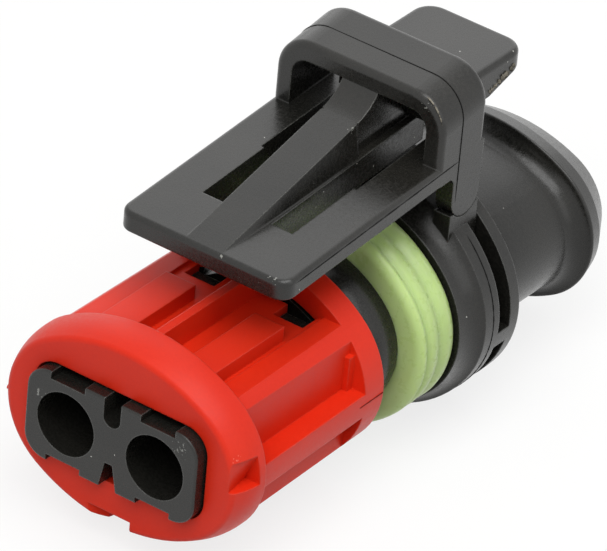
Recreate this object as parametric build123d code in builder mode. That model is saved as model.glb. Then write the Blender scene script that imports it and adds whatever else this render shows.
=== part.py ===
from build123d import *
import os
from math import atan2, degrees, radians, sqrt, tan

os.makedirs("parts", exist_ok=True)

# Sealed two-way plug, in millimetres. The origin is the centre of the contact block's mating face:
# X runs across the contacts, Y back along the axis towards the wires, Z up towards the latch.

# Contact block: the black nose with the two pin bores
contact_pitch = 6.0
bore_radius = 1.92
bore_depth = 7.0
bore_side_wall = 0.8
bore_cover = 0.91
block_corner = 1.4
face_round = 0.12
track_inner = 1.88
track_width = 2.3
track_depth = 0.41
track_length = 9.0
keyway_half_width = 0.57
keyway_bottom = 1.17
notch_top_half_width = 0.25
notch_bottom_half_width = 0.6

# Secondary lock: the red sleeve that slides over the block
lock_setback = 0.8
lock_length = 13.7
slide_clearance = 0.1
ring_side_wall = 2.27
ring_top_wall = 3.08
ring_length = 2.35
ring_dome_length = 2.0
ring_dome_height = 0.5
ring_dome_steps = 5
ring_round = 0.35
sleeve_side_wall = 1.88
sleeve_top_wall = 3.23
sleeve_draft = 0.12
rear_ring_length = 1.7
rear_ring_wall = 1.35
rib_half_width = 0.27
rib_height = 2.55
groove_height = 0.95
finger_inner = 2.0
finger_width = 2.0
finger_height = 1.87
finger_length = 8.9
finger_floor = 1.75
finger_gap = 0.4
shelf_height = 1.17
pocket_wall = 0.48
pocket_stop_length = 0.5
pocket_stop_height = 0.35
pocket_stop_rise = 2.1
band_top = 0.55
band_bottom = 1.0
side_window_length = 1.0
side_window_height = 1.15
ring_keyway_left = 0.85
ring_keyway_right = 1.14
ring_keyway_depth = 1.18
ring_keyway_lead = 0.87
pry_depth = 1.0
pry_front_depth = 0.75
pry_height = 1.7
pry_back_wall = 0.4
pry_slant = 0.15
catch_gap = 0.2
catch_length = 0.9

# Seal seat, retainer and shoulder of the housing
neck_setback = 0.3
neck_drop = 0.5
seat_side_rise = 0.18
seat_top_rise = 1.92
lock_to_retainer = 0.5
retainer_length = 2.7
retainer_height = 0.5
retainer_crest = 0.6
retainer_steps = 7
shoulder_lip = 0.1
shoulder_length = 1.7
shoulder_curve = 0.6
shoulder_steps = 5

# Interface seal: the green ribbed ring
seal_length = 3.5
seal_height = 1.85
seal_clearance = 0.03
seal_end_gap = 0.05
seal_valley = 0.25
rib_count = 3
rib_gap = 0.2
rib_round = 0.46

# Double flange
flange_side = 1.65
flange_top = 2.95
flange_plate = 1.3
flange_slot = 1.06
flange_rear = 0.94
flange_round = 0.18
flange_flat = 0.2
slot_depth = 1.8
web_width = 1.0
web_drop = 1.1

# Rear tube with its lip and open socket
tube_length = 6.7
tube_side_wall = 1.65
tube_top_wall = 1.35
flare_length = 1.2
flare_height = 1.05
flare_steps = 5
lip_length = 1.1
lip_draft = 0.3
lip_round = 0.12
tail_length = 1.9
tail_wall = 1.0
socket_depth = 7.2
socket_side_gap = 0.25
socket_top_gap = 1.1

# Wire seals in the socket's floor
wire_seal_radius = 2.07
wire_seal_length = 6.0
wire_seal_setback = 0.4
wire_seal_ribs = 3
wire_seal_valley = 0.3
wire_hole_radius = 0.85
fit_clearance = 0.04

# Contacts and their steel springs
contact_width = 2.6
contact_wall = 0.25
contact_box_length = 6.0
crimp_length = 3.0
crimp_radius = 0.95
crimp_height = 1.9
grip_length = 2.6
grip_radius = 1.15
grip_height = 2.3
contact_seal_gap = 1.8
spring_wall = 0.15
spring_setback = 0.4
spring_length = 4.8
spring_slit = 0.5
lance_width = 0.7
lance_length = 2.2
lance_rise = 0.3

# Latch lever: plate, wedge, arch, thumb pad and legs
latch_half_width = 5.65
shroud_gap = 2.17
plate_thickness = 1.2
plate_slope = 3.7
plate_front = 7.02
plate_corner = 0.9
plate_round = 0.3
plate_under_round = 0.1
slot_front = 11.08
slot_jog = 16.6
slot_jog_width = 0.2
strip_half_width = 1.65
slot_width = 1.38
slot_rim = 0.6
slot_rim_depth = 0.6
wedge_half_width = 1.2
wedge_front = 7.3
wedge_length = 11.9
wedge_drop = 2.26
wedge_round = 0.18
wedge_sweep = 1.7
arch_front = 20.85
arch_length = 4.2
arch_height = 4.19
arch_slope = 7.8
arch_wall = 1.1
arch_corner = 2.2
arch_round = 0.4
leg_length = 2.6
leg_fillet = 0.6
pad_half_width = 3.45
pad_length = 6.95
pad_drop = 1.33
pad_thickness = 1.92
pad_thin = 1.0
pad_corner = 1.3
pad_round = 0.35
hinge_clearance = 0.05
post_depth = 0.9

# Oval sections: four arcs, with the side radius a fixed share of the half height
oval_roundness = 0.85


def oval_arcs(half_width, half_height):
    """Side radius, its centre's distance from the middle, and the top radius of an oval section."""
    side = oval_roundness * half_height
    shift = half_width - side
    top = (shift**2 + half_height**2 - side**2) / (2 * (half_height - side))
    return side, shift, top


def oval_edge_height(half_width, half_height, x):
    """Height of an oval section's edge over its long axis, at a distance x from the middle."""
    side, shift, top = oval_arcs(half_width, half_height)
    join = shift + side * shift / (top - side)
    if x <= join:
        return half_height - top + sqrt(top**2 - x**2)
    return sqrt(side**2 - (x - shift) ** 2)


def oval_edge_width(half_width, half_height, z):
    """Distance of an oval section's side arc from the middle, at a height z."""
    side, shift, _ = oval_arcs(half_width, half_height)
    return shift + sqrt(side**2 - z**2)


class Oval(BaseSketchObject):
    """An oval of four tangent arcs."""

    def __init__(self, half_width, half_height, mode=Mode.ADD):
        side, shift, top = oval_arcs(half_width, half_height)
        turn = degrees(atan2(top - half_height, shift))
        with BuildSketch() as outline:
            with BuildLine():
                CenterArc((shift, 0), side, -turn, 2 * turn)
                CenterArc((0, half_height - top), top, turn, 180 - 2 * turn)
                CenterArc((-shift, 0), side, 180 - turn, 2 * turn)
                CenterArc((0, top - half_height), top, 180 + turn, 180 - 2 * turn)
            make_face()
        super().__init__(outline.sketch, mode=mode)


def station(y, x=0):
    """Sketch plane across the axis at y. It faces the mating side, so a negative amount runs back."""
    return Plane(origin=(x, y, 0), x_dir=(1, 0, 0), z_dir=(0, -1, 0))


def sweep_rise(share, length, height):
    """Height of a concave arc that starts along the axis and ends at length and height."""
    radius = (length**2 + height**2) / (2 * height)
    return radius - sqrt(radius**2 - (share * length) ** 2)


# Sizes that follow from the driving dimensions
contact_x = contact_pitch / 2
block_half_width = contact_x + bore_radius + bore_side_wall
block_half_height = bore_radius + bore_cover

opening_half_width = block_half_width + slide_clearance
opening_half_height = block_half_height + slide_clearance
opening_corner = block_corner + slide_clearance
ring_half_width = opening_half_width + ring_side_wall
ring_half_height = opening_half_height + ring_top_wall
sleeve_half_width = opening_half_width + sleeve_side_wall
sleeve_half_height = opening_half_height + sleeve_top_wall
chamber_half_width = sleeve_half_width - sleeve_draft - rear_ring_wall
chamber_half_height = sleeve_half_height - sleeve_draft - rear_ring_wall
ring_back = lock_setback + ring_length
lock_back = lock_setback + lock_length
pocket_back = lock_back - rear_ring_length
finger_back = lock_setback + finger_length
window_front = finger_back + finger_floor
finger_outer = finger_inner + finger_width
rib_top = opening_half_height + rib_height
groove_floor = opening_half_height + groove_height
finger_top = opening_half_height + finger_height
shelf_top = opening_half_height + shelf_height
pocket_floor = opening_half_width + pocket_wall
pry_top_edge = oval_edge_width(ring_half_width, ring_half_height, pry_height)
catch_top = oval_edge_height(chamber_half_width, chamber_half_height, finger_outer) - slide_clearance

seat_half_width = block_half_width + seat_side_rise
seat_half_height = block_half_height + seat_top_rise
neck_front = pocket_back + neck_setback
retainer_front = lock_back + lock_to_retainer
seal_front = retainer_front + retainer_length
shoulder_front = seal_front + seal_length
shoulder_half_width = seat_half_width + seal_height + shoulder_lip
shoulder_half_height = seat_half_height + seal_height + shoulder_lip

seal_cavity_radius = wire_seal_radius + fit_clearance
socket_half_width = contact_x + seal_cavity_radius + socket_side_gap
socket_half_height = seal_cavity_radius + socket_top_gap
tube_half_width = contact_x + seal_cavity_radius + tube_side_wall
tube_half_height = socket_half_height + tube_top_wall
flange_half_width = tube_half_width + flange_side
flange_half_height = tube_half_height + flange_top
flange_front = shoulder_front + shoulder_length
flange_slot_front = flange_front + flange_plate
flange_slot_back = flange_slot_front + flange_slot
flange_back = flange_slot_back + flange_rear
flare_front = flange_back + tube_length
lip_front = flare_front + flare_length
lip_back = lip_front + lip_length
tail_end = lip_back + tail_length
lip_half_width = tube_half_width + flare_height
lip_half_height = tube_half_height + flare_height
socket_floor = tail_end - socket_depth

wire_seal_back = socket_floor - wire_seal_setback
wire_seal_front = wire_seal_back - wire_seal_length
seal_cavity_front = wire_seal_front - fit_clearance
contact_front = bore_depth + fit_clearance
contact_box_back = contact_front + contact_box_length
grip_back = wire_seal_front - contact_seal_gap
contact_throat_length = (grip_back - grip_length - crimp_length - contact_box_back) / 2
crimp_front = contact_box_back + contact_throat_length
grip_front = crimp_front + crimp_length + contact_throat_length
spring_front = contact_front + spring_setback
spring_width = contact_width + 2 * spring_wall
cavity_width = spring_width + 2 * fit_clearance
lance_front = spring_front + spring_wall
lance_back = lance_front + lance_length

rise = tan(radians(plate_slope))
plate_bottom = ring_half_height + shroud_gap
plate_top = plate_bottom + plate_thickness
arch_back = arch_front + arch_length
arch_top = plate_top + (arch_front - plate_front) * rise + arch_height
arch_back_top = arch_top + arch_length * tan(radians(arch_slope))
wedge_top = arch_top - wedge_drop
wedge_back = wedge_front + wedge_length
wedge_end = wedge_back + wedge_sweep
leg_front = arch_back - leg_length
hinge_radius = leg_length / 2
hinge_y = leg_front + hinge_radius
hinge_z = flange_half_height
leg_inner = latch_half_width - arch_wall
pad_back = arch_back + pad_length
ceiling_back = arch_back_top - arch_wall
pad_top = ceiling_back - pad_drop
pad_bottom = pad_top - pad_thickness


def plate_under(y):
    """Height of the latch plate's underside at y."""
    return plate_bottom + (y - plate_front) * rise


def plate_over(y):
    """Height of the latch plate's upper face at y."""
    return plate_under(y) + plate_thickness


# Housing: block, neck, seal seat, shoulder, double flange and rear tube in one moulding
with BuildPart() as housing:
    with BuildSketch(station(0)):
        RectangleRounded(2 * block_half_width, 2 * block_half_height, block_corner)
    extrude(amount=-retainer_front)
    fillet(housing.edges().group_by(Axis.Y)[0], face_round)

    # Neck, and the rounded retainer in front of the seal
    with BuildSketch(station(neck_front)):
        Oval(seat_half_width - neck_drop, seat_half_height - neck_drop)
    extrude(amount=-(retainer_front - neck_front))
    for step in range(retainer_steps):
        share = step / (retainer_steps - 1)
        turn = abs(share - retainer_crest) / retainer_crest
        drop = sweep_rise(turn, retainer_crest * retainer_length, retainer_height)
        with BuildSketch(station(retainer_front + share * retainer_length)):
            Oval(seat_half_width + retainer_height - drop, seat_half_height + retainer_height - drop)
    loft()

    # Seal seat
    with BuildSketch(station(seal_front)):
        Oval(seat_half_width, seat_half_height)
    extrude(amount=-seal_length)

    # Shoulder that sweeps out to the flange
    for step in range(shoulder_steps):
        share = step / (shoulder_steps - 1)
        grow = sweep_rise(share, 1, shoulder_curve) / shoulder_curve
        with BuildSketch(station(shoulder_front + share * shoulder_length)):
            Oval(
                shoulder_half_width + grow * (flange_half_width - shoulder_half_width),
                shoulder_half_height + grow * (flange_half_height - shoulder_half_height),
            )
    loft()

    # Double flange with its rim slot, bridged by webs at the sides, the bottom and between the legs
    with BuildSketch(station(flange_front)):
        Oval(flange_half_width, flange_half_height)
    extrude(amount=-(flange_back - flange_front))
    fillet(housing.edges().group_by(Axis.Y)[-1], flange_round)
    with BuildSketch(station(flange_slot_front)):
        Oval(flange_half_width, flange_half_height)
        Oval(flange_half_width - slot_depth, flange_half_height - slot_depth, mode=Mode.SUBTRACT)
        with Locations((0, -web_drop)):
            Rectangle(2 * flange_half_width, web_width, mode=Mode.SUBTRACT)
        with Locations((0, flange_half_height)):
            Rectangle(2 * leg_inner, flange_half_height, mode=Mode.SUBTRACT)
        with Locations((0, -flange_half_height)):
            Rectangle(web_width, flange_half_height, mode=Mode.SUBTRACT)
    extrude(amount=-flange_slot, mode=Mode.SUBTRACT)

    # Small flat under the flange, on which the plug lies
    with BuildSketch(station(shoulder_front)):
        with Locations((0, -flange_half_height)):
            Rectangle(2 * flange_half_width, 2 * flange_flat)
    extrude(amount=-(flange_back - shoulder_front), mode=Mode.SUBTRACT)

    # Rear tube, concave flare, rim and tapered tail
    with BuildSketch(station(flange_back)):
        Oval(tube_half_width, tube_half_height)
    extrude(amount=-tube_length)
    for step in range(flare_steps):
        share = step / (flare_steps - 1)
        grow = sweep_rise(share, flare_length, flare_height)
        with BuildSketch(station(flare_front + share * flare_length)):
            Oval(tube_half_width + grow, tube_half_height + grow)
    loft()
    with BuildSketch(station(lip_front)):
        Oval(lip_half_width, lip_half_height)
    with BuildSketch(station(lip_back)):
        Oval(lip_half_width - lip_draft, lip_half_height - lip_draft)
    loft()
    with BuildSketch(station(lip_back)):
        Oval(lip_half_width - lip_draft, lip_half_height - lip_draft)
    with BuildSketch(station(tail_end)):
        Oval(socket_half_width + tail_wall, socket_half_height + tail_wall)
    loft()
    lip_edges = housing.edges().filter_by_position(Axis.Y, lip_front - lip_round, lip_back + lip_round)
    fillet(lip_edges.filter_by(GeomType.LINE, reverse=True), lip_round)

    # Open socket at the rear
    with BuildSketch(station(socket_floor)):
        Oval(socket_half_width, socket_half_height)
    extrude(amount=-socket_depth, mode=Mode.SUBTRACT)

    # Pin bores, contact cavities and wire-seal cavities
    for start, end, shape in (
        (0, bore_depth, "bore"),
        (bore_depth, seal_cavity_front, "contact"),
        (seal_cavity_front, socket_floor, "seal"),
    ):
        with BuildSketch(station(start)):
            with Locations((-contact_x, 0), (contact_x, 0)):
                if shape == "bore":
                    Circle(bore_radius)
                elif shape == "contact":
                    Rectangle(cavity_width, cavity_width)
                else:
                    Circle(seal_cavity_radius)
        extrude(amount=-(end - start), mode=Mode.SUBTRACT)
    with BuildSketch(station(lance_front)):
        with Locations((-contact_x, cavity_width / 2), (contact_x, cavity_width / 2)):
            Rectangle(lance_width + 2 * fit_clearance, 2 * (lance_rise + fit_clearance))
    extrude(amount=-(lance_back + fit_clearance - lance_front), mode=Mode.SUBTRACT)

    # Guide tracks over and under the bores, keyway above and notch below
    with BuildSketch(station(0)):
        for level in (-block_half_height, block_half_height):
            for middle in (-track_inner - track_width / 2, track_inner + track_width / 2):
                with Locations((middle, level)):
                    Rectangle(track_width, 2 * track_depth)
        with Locations((0, keyway_bottom + keyway_half_width)):
            Circle(keyway_half_width)
        with Locations((0, keyway_bottom + keyway_half_width)):
            Rectangle(2 * keyway_half_width, block_half_height, align=(Align.CENTER, Align.MIN))
        with BuildLine():
            Polyline(
                (-notch_top_half_width, -keyway_bottom),
                (notch_top_half_width, -keyway_bottom),
                (notch_bottom_half_width, -block_half_height),
                (-notch_bottom_half_width, -block_half_height),
                close=True,
            )
        make_face()
    extrude(amount=-track_length, mode=Mode.SUBTRACT)

    # Catches behind the lock's fingers
    catch_middle = (finger_inner + finger_outer) / 2
    catch_width = finger_width - 2 * slide_clearance
    with BuildSketch(station(window_front + catch_gap)):
        for middle in (-catch_middle, catch_middle):
            with Locations((middle, 0)):
                Rectangle(catch_width, 2 * catch_top)
        Rectangle(2 * finger_outer, 2 * block_half_height - 2 * track_depth, mode=Mode.SUBTRACT)
    extrude(amount=-catch_length)

    # Posts with the saddles that the latch legs rock in
    post_base = oval_edge_height(flange_half_width, flange_half_height, latch_half_width) - flange_plate
    with BuildSketch(Plane.YZ.offset(leg_inner)):
        with Locations((hinge_y, hinge_z - post_depth)):
            Rectangle(leg_length, hinge_z - post_depth - post_base, align=(Align.CENTER, Align.MAX))
    post = extrude(amount=arch_wall)
    mirror(post, about=Plane.YZ)
    with BuildSketch(Plane.YZ.offset(leg_inner - hinge_clearance)):
        with Locations((hinge_y, hinge_z)):
            Circle(hinge_radius + hinge_clearance)
    saddle = extrude(amount=arch_wall + 2 * hinge_clearance, mode=Mode.PRIVATE)
    add(saddle, mode=Mode.SUBTRACT)
    add(saddle.mirror(Plane.YZ), mode=Mode.SUBTRACT)
housing.part.label = "housing"
export_step(housing.part, "parts/housing.step")

# Secondary lock: front ring, grooved sleeve with locking fingers, rear ring
with BuildPart() as secondary_lock:
    for step in range(ring_dome_steps):
        share = step / (ring_dome_steps - 1)
        drop = sweep_rise(1 - share, ring_dome_length, ring_dome_height)
        with BuildSketch(station(lock_setback + share * ring_dome_length)):
            Oval(ring_half_width - drop, ring_half_height - drop)
    loft()
    fillet(secondary_lock.edges().group_by(Axis.Y)[0], ring_round)
    with BuildSketch(station(lock_setback + ring_dome_length)):
        Oval(ring_half_width, ring_half_height)
    extrude(amount=-(ring_length - ring_dome_length))
    with BuildSketch(station(ring_back)):
        Oval(sleeve_half_width, sleeve_half_height)
    with BuildSketch(station(lock_back)):
        Oval(sleeve_half_width - sleeve_draft, sleeve_half_height - sleeve_draft)
    loft()

    # Opening for the block, and the wider chamber inside the rear ring
    with BuildSketch(station(lock_setback)):
        RectangleRounded(2 * opening_half_width, 2 * opening_half_height, opening_corner)
    extrude(amount=-lock_length, mode=Mode.SUBTRACT)
    with BuildSketch(station(pocket_back)):
        Oval(chamber_half_width, chamber_half_height)
    extrude(amount=-rear_ring_length, mode=Mode.SUBTRACT)

    # Stepped grooves above and below: middle rib, locking fingers, shelves; flat pockets at the sides
    outside = ring_half_width + ring_half_height
    with BuildSketch(station(ring_back)):
        with BuildLine():
            Polyline(
                (0, outside),
                (0, rib_top),
                (rib_half_width, rib_top),
                (rib_half_width, groove_floor),
                (finger_outer + finger_gap, groove_floor),
                (finger_outer + finger_gap, shelf_top),
                (outside, shelf_top),
                (outside, outside),
                close=True,
            )
        make_face()
        mirror(about=Plane.XZ)
        with Locations((pocket_floor, band_top)):
            Rectangle(outside, outside, align=(Align.MIN, Align.MIN))
        with Locations((pocket_floor, -band_bottom)):
            Rectangle(outside, outside, align=(Align.MIN, Align.MAX))
        mirror(about=Plane.YZ)
    extrude(amount=-(pocket_back - ring_back), mode=Mode.SUBTRACT)

    # Locking fingers, each standing on the groove's floor
    finger_root = groove_floor - groove_height / 2
    with BuildSketch(station(ring_back)):
        for middle in (-catch_middle, catch_middle):
            with Locations((middle, finger_root)):
                Rectangle(finger_width, finger_top - finger_root, align=(Align.CENTER, Align.MIN))
        mirror(about=Plane.XZ)
    extrude(amount=-(finger_back - ring_back))

    # A stop at the rear of each upper side pocket
    with BuildSketch(station(pocket_back - pocket_stop_length)):
        with Locations((pocket_floor, band_top)):
            Rectangle(pocket_stop_height, pocket_stop_rise, align=Align.MIN)
        mirror(about=Plane.YZ)
    extrude(amount=-pocket_stop_length)

    # Windows behind the fingers, and one low on each side
    with BuildSketch(station(window_front)):
        for middle in (-catch_middle, catch_middle):
            with Locations((middle, 0)):
                Rectangle(finger_width, 2 * outside)
    extrude(amount=-(pocket_back - window_front), mode=Mode.SUBTRACT)
    with BuildSketch(station(pocket_back - side_window_length)):
        with Locations((0, -band_bottom)):
            Rectangle(2 * outside, side_window_height, align=(Align.CENTER, Align.MAX))
    extrude(amount=-side_window_length, mode=Mode.SUBTRACT)

    # Keyway under the front ring with a lead-in on its left, and a pry pocket on the ring's right side
    with BuildSketch(Plane.XY.offset(ring_keyway_depth - ring_half_height)):
        with BuildLine():
            Polyline(
                (ring_keyway_right, lock_setback),
                (ring_keyway_right, ring_back),
                (-ring_keyway_left, ring_back),
                (-ring_keyway_left, lock_setback + ring_keyway_lead),
                (-ring_keyway_left - ring_keyway_lead, lock_setback),
                close=True,
            )
        make_face()
    extrude(amount=-outside, mode=Mode.SUBTRACT)
    for level, front_edge, back_edge in (
        (0, ring_half_width - pry_front_depth, ring_half_width - pry_depth),
        (pry_height, pry_top_edge - ring_dome_height, pry_top_edge),
    ):
        with BuildSketch(Plane.XY.offset(level)):
            with BuildLine():
                Polyline(
                    (front_edge, lock_setback),
                    (back_edge, ring_back - pry_back_wall - pry_slant),
                    (outside, ring_back - pry_back_wall),
                    (outside, lock_setback),
                    close=True,
                )
            make_face()
    loft(mode=Mode.SUBTRACT)
secondary_lock.part.label = "secondary_lock"
export_step(secondary_lock.part, "parts/secondary_lock.step")

# Interface seal: a soft ring with rounded ribs
seal_inner_width = seat_half_width + seal_clearance
seal_inner_height = seat_half_height + seal_clearance
seal_start = seal_front + seal_end_gap
seal_body_length = seal_length - 2 * seal_end_gap
rib_pitch = (seal_body_length + rib_gap) / rib_count
with BuildPart() as interface_seal:
    for rib in range(rib_count):
        with BuildSketch(station(seal_start + rib * rib_pitch)):
            Oval(seat_half_width + seal_height, seat_half_height + seal_height)
        extrude(amount=-(rib_pitch - rib_gap))
    crest_edges = interface_seal.edges().filter_by(GeomType.LINE, reverse=True)
    fillet(crest_edges, rib_round)
    valley_width = seat_half_width + seal_height - seal_valley
    valley_height = seat_half_height + seal_height - seal_valley
    with BuildSketch(station(seal_start)):
        Oval(valley_width, valley_height)
    extrude(amount=-seal_body_length)
    with BuildSketch(station(seal_start)):
        Oval(seal_inner_width, seal_inner_height)
    extrude(amount=-seal_body_length, mode=Mode.SUBTRACT)
interface_seal.part.label = "interface_seal"
export_step(interface_seal.part, "parts/interface_seal.step")

# Arch of the latch: a rounded bridge over a tunnel, a little higher at the back
with BuildPart() as arch:
    for y, top in ((arch_front, arch_top), (arch_back, arch_back_top)):
        with BuildSketch(station(y)):
            with BuildLine():
                FilletPolyline(
                    (-latch_half_width, plate_under(y)),
                    (-latch_half_width, top),
                    (latch_half_width, top),
                    (latch_half_width, plate_under(y)),
                    radius=arch_corner,
                )
                Line((latch_half_width, plate_under(y)), (-latch_half_width, plate_under(y)))
            make_face()
    loft()
    mouth_edges = arch.faces().filter_by(Axis.Y).edges()
    fillet(mouth_edges.filter_by(lambda edge: edge.center().Z > plate_over(arch_back)), arch_round)
    for y, top in ((arch_front, arch_top), (arch_back, arch_back_top)):
        with BuildSketch(station(y)):
            with BuildLine():
                FilletPolyline(
                    (-leg_inner, plate_over(y)),
                    (-leg_inner, top - arch_wall),
                    (leg_inner, top - arch_wall),
                    (leg_inner, plate_over(y)),
                    radius=arch_corner - arch_wall,
                )
                Line((leg_inner, plate_over(y)), (-leg_inner, plate_over(y)))
            make_face()
    loft(mode=Mode.SUBTRACT)

# Wedge of the latch: a drafted ridge that grows out of the plate towards the arch
with BuildPart() as wedge:
    for y, top in ((wedge_front, plate_over(wedge_front)), (wedge_back, wedge_top)):
        root = plate_over(y) - plate_thickness / 2
        with BuildSketch(station(y)):
            with BuildLine():
                Polyline(
                    (-strip_half_width, root),
                    (-wedge_half_width, top),
                    (wedge_half_width, top),
                    (strip_half_width, root),
                    close=True,
                )
            make_face()
    loft()
    ridge = wedge.faces().sort_by(Axis.Z)[-1]
    fillet(ridge.edges().filter_by(lambda edge: abs(edge.center().X) > wedge_half_width / 2), wedge_round)

# Latch lever: sloped plate with slots, arch on two legs, wedge, thumb pad
with BuildPart() as latch_lever:
    with BuildSketch(Plane.YZ):
        with BuildLine():
            Polyline(
                (plate_front, plate_bottom),
                (plate_front, plate_top),
                (arch_back, plate_over(arch_back)),
                (arch_back, plate_under(arch_back)),
                close=True,
            )
        make_face()
    extrude(amount=latch_half_width, both=True)
    fillet(latch_lever.edges().filter_by(Axis.Z).group_by(Axis.Y)[0], plate_corner)
    plate_end = latch_lever.faces().sort_by(Axis.Y)[-1].edges()
    broad_faces = latch_lever.faces().sort_by(SortBy.AREA)[-2:].sort_by(Axis.Z)
    under_edges = broad_faces[0].edges() - plate_end
    over_edges = broad_faces[-1].edges() - plate_end
    fillet(over_edges, plate_round)
    fillet(under_edges, plate_under_round)
    add(arch.part)

    # Thicker field round the slots, and the slots themselves, open to the rear
    with BuildSketch(Plane.YZ):
        with BuildLine():
            Polyline(
                (slot_front - slot_rim, plate_over(slot_front - slot_rim) - plate_thickness / 2),
                (arch_back, plate_over(arch_back) - plate_thickness / 2),
                (arch_back, plate_under(arch_back) - slot_rim_depth),
                (slot_front - slot_rim, plate_under(slot_front - slot_rim) - slot_rim_depth),
                close=True,
            )
        make_face()
    extrude(amount=strip_half_width + slot_width + slot_jog_width + slot_rim, both=True)
    with BuildSketch(Plane.XY):
        for start, width in ((slot_front, slot_width), (slot_jog, slot_width + slot_jog_width)):
            for edge, side in ((-1, Align.MAX), (1, Align.MIN)):
                with Locations((edge * strip_half_width, start)):
                    Rectangle(width, arch_back - start, align=(side, Align.MIN))
    extrude(amount=plate_over(arch_back), mode=Mode.SUBTRACT)

    # Legs down to the rounded feet that rock in the housing's saddles
    leg_root = plate_under(leg_front)
    with BuildSketch(Plane.YZ.offset(leg_inner)):
        with BuildLine():
            Polyline(
                (leg_front - leg_fillet, leg_root),
                (leg_front - leg_fillet, leg_root + plate_thickness),
                (arch_back, plate_over(arch_back)),
                (arch_back, hinge_z),
                (leg_front, hinge_z),
                (leg_front, leg_root - leg_fillet),
            )
            TangentArc(
                (leg_front, leg_root - leg_fillet),
                (leg_front - leg_fillet, leg_root),
                tangent=(0, 1),
            )
        make_face()
        with Locations((hinge_y, hinge_z)):
            Circle(hinge_radius)
    leg = extrude(amount=arch_wall)
    mirror(leg, about=Plane.YZ)

    # Wedge between the slots, and the web that sweeps up from it into the arch
    add(wedge.part)
    with BuildSketch(Plane.YZ):
        with BuildLine():
            Polyline(
                (wedge_back, wedge_top),
                (wedge_back, plate_under(wedge_back)),
                (arch_front, plate_under(arch_front)),
                (arch_back, pad_bottom),
                (arch_back, ceiling_back + arch_wall / 2),
                (wedge_end, arch_top - arch_wall / 2),
                (wedge_end, arch_top - arch_wall),
            )
            TangentArc(
                (wedge_back, wedge_top),
                (wedge_end, arch_top - arch_wall),
                tangent=(wedge_length, wedge_top - plate_over(wedge_front)),
            )
        make_face()
    extrude(amount=wedge_half_width, both=True)

    # Thumb pad behind the arch
    with BuildSketch(Plane.YZ):
        with BuildLine():
            Polyline(
                (arch_back - arch_wall, pad_bottom),
                (arch_back - arch_wall, ceiling_back + arch_wall / 2),
                (arch_back - arch_round, ceiling_back + arch_wall / 2),
                (arch_back - arch_round, pad_top),
                (pad_back, pad_top),
                (pad_back, pad_bottom + pad_thin),
                (arch_back + pad_length / 2, pad_bottom),
                close=True,
            )
        make_face()
    extrude(amount=pad_half_width, both=True)
    fillet(latch_lever.edges().filter_by(Axis.Z).group_by(Axis.Y)[-1], pad_corner)
    pad_face = latch_lever.faces().filter_by(Axis.Z).sort_by(Axis.Y)[-1]
    pad_rim = pad_face.edges().filter_by_position(Axis.Y, arch_back, pad_back)
    fillet(pad_rim, pad_round)
latch_lever.part.label = "latch_lever"
export_step(latch_lever.part, "parts/latch_lever.step")

# Contacts, springs and wire seals, one of each for the left and the right bore
for side, x in (("left", -contact_x), ("right", contact_x)):
    # Stamped contact: box for the pin, throat, wire crimp and seal grip as open channels
    with BuildPart() as contact:
        with BuildSketch(station(contact_front, x)):
            Rectangle(contact_width, contact_width)
            Rectangle(contact_width - 2 * contact_wall, contact_width - 2 * contact_wall, mode=Mode.SUBTRACT)
        extrude(amount=-contact_box_length)
        with BuildSketch(station(contact_front, x)):
            with Locations((0, -contact_width / 2)):
                Rectangle(2 * crimp_radius, contact_wall, align=(Align.CENTER, Align.MIN))
        extrude(amount=-(grip_back - contact_front))
        for start, length, radius, height in (
            (crimp_front, crimp_length, crimp_radius, crimp_height),
            (grip_front, grip_length, grip_radius, grip_height),
        ):
            with BuildSketch(station(start, x)):
                with Locations((0, radius - contact_width / 2)):
                    Circle(radius)
                    Rectangle(2 * radius, height - radius, align=(Align.CENTER, Align.MIN))
                    Circle(radius - contact_wall, mode=Mode.SUBTRACT)
                    Rectangle(
                        2 * (radius - contact_wall),
                        height - radius,
                        align=(Align.CENTER, Align.MIN),
                        mode=Mode.SUBTRACT,
                    )
            extrude(amount=-length)
    contact.part.label = f"contact_{side}"
    export_step(contact.part, f"parts/contact_{side}.step")

    # Steel spring sleeve with a slit underneath and a lance that locks behind the housing's step
    with BuildPart() as contact_spring:
        with BuildSketch(station(spring_front, x)):
            Rectangle(spring_width, spring_width)
            Rectangle(contact_width, contact_width, mode=Mode.SUBTRACT)
            with Locations((0, -spring_width / 2)):
                Rectangle(spring_slit, 2 * spring_wall, mode=Mode.SUBTRACT)
        extrude(amount=-spring_length)
        with BuildSketch(Plane.YZ.offset(x)):
            with BuildLine():
                Polyline(
                    (lance_front, contact_width / 2),
                    (lance_front, spring_width / 2),
                    (lance_back, spring_width / 2 + lance_rise),
                    (lance_back, contact_width / 2 + lance_rise),
                    close=True,
                )
            make_face()
        extrude(amount=lance_width / 2, both=True)
    contact_spring.part.label = f"contact_spring_{side}"
    export_step(contact_spring.part, f"parts/contact_spring_{side}.step")

    # Wire seal: ribbed plug with the wire's hole
    wire_rib_length = wire_seal_length / (2 * wire_seal_ribs - 1)
    with BuildPart() as wire_seal:
        with BuildSketch(station(wire_seal_front, x)):
            Circle(wire_seal_radius - wire_seal_valley)
        extrude(amount=-wire_seal_length)
        for rib in range(wire_seal_ribs):
            with BuildSketch(station(wire_seal_front + 2 * rib * wire_rib_length, x)):
                Circle(wire_seal_radius)
            extrude(amount=-wire_rib_length)
        with BuildSketch(station(wire_seal_front, x)):
            Circle(wire_hole_radius)
        extrude(amount=-wire_seal_length, mode=Mode.SUBTRACT)
    wire_seal.part.label = f"wire_seal_{side}"
    export_step(wire_seal.part, f"parts/wire_seal_{side}.step")
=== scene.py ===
"""Dresses the sealed two-way plug: plastics, seals, contacts, moulding marks, light and camera."""

import logging
import math
import random
from dataclasses import dataclass
from enum import Enum
from typing import Any

import bmesh
import bpy
from mathutils import Matrix, Vector


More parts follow.
